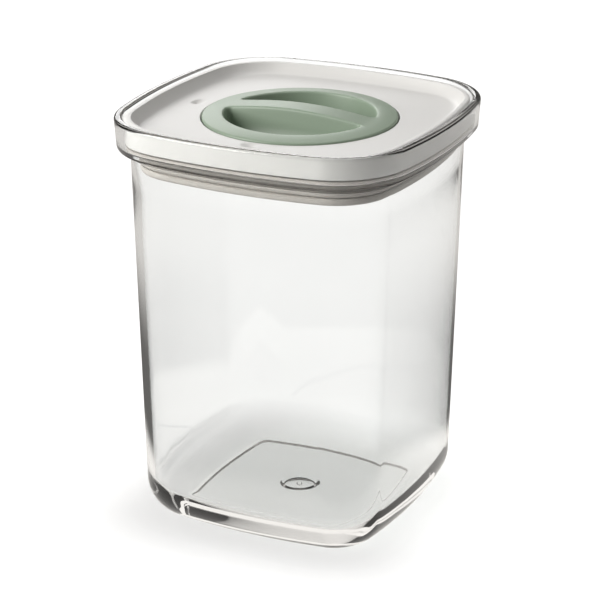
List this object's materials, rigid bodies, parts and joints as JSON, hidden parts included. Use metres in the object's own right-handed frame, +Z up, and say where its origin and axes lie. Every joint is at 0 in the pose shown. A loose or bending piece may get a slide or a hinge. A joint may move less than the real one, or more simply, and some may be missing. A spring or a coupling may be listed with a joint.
{
  "type": "storage canister with a twist-lock lid",
  "caption": "Clear square storage canister with a lift-off lid, whose flush twist knob draws up a pressure plate and squeezes a gasket against the wall.",
  "frame": {"origin": "centre of the base, on the surface that the canister stands on", "axes": "+Z up out of the mouth, X along the knob's grip when it is locked, Y across it"},
  "size_m": [0.11, 0.11, 0.145],
  "materials": {
    "clear_body": "polished clear",
    "lid_white": "satin",
    "frame_white": "satin",
    "silicone": "soft matt",
    "plate_white": "satin",
    "knob_sage": "fine matt grain",
    "drum_white": "satin",
    "steel": "bright"
  },
  "bodies": {
    "container": {"container_body": "clear_body"},
    "lid": {"lid_cover": "lid_white", "lid_frame": "frame_white", "seal_gasket": "silicone", "frame_screw_1": "steel", "frame_screw_2": "steel", "frame_screw_3": "steel", "frame_screw_4": "steel"},
    "knob": {"knob": "knob_sage", "cam_drum": "drum_white", "drum_screw_1": "steel", "drum_screw_2": "steel", "drum_screw_3": "steel", "drum_screw_4": "steel"},
    "plate": {"pressure_plate": "plate_white", "follower_pin_1": "steel", "follower_pin_2": "steel", "follower_pin_3": "steel"}
  },
  "joints": [
    {"name": "lid_lift", "type": "slide", "parent": "container", "child": "lid", "axis": [0, 0, 1], "range_m": [0, 0.06]},
    {"name": "knob_turn", "type": "hinge", "parent": "lid", "child": "knob", "pos_m": [0, 0, 0.135], "axis": [0, 0, 1], "range_deg": [0, 90]},
    {"name": "plate_lift", "type": "slide", "parent": "lid", "child": "plate", "axis": [0, 0, 1], "range_m": [-0.002, 0], "deforming": ["seal_gasket"]}
  ],
  "couplings": [
    {"joint": "plate_lift", "follows": "knob_turn", "m_per_rad": -0.001273}
  ]
}
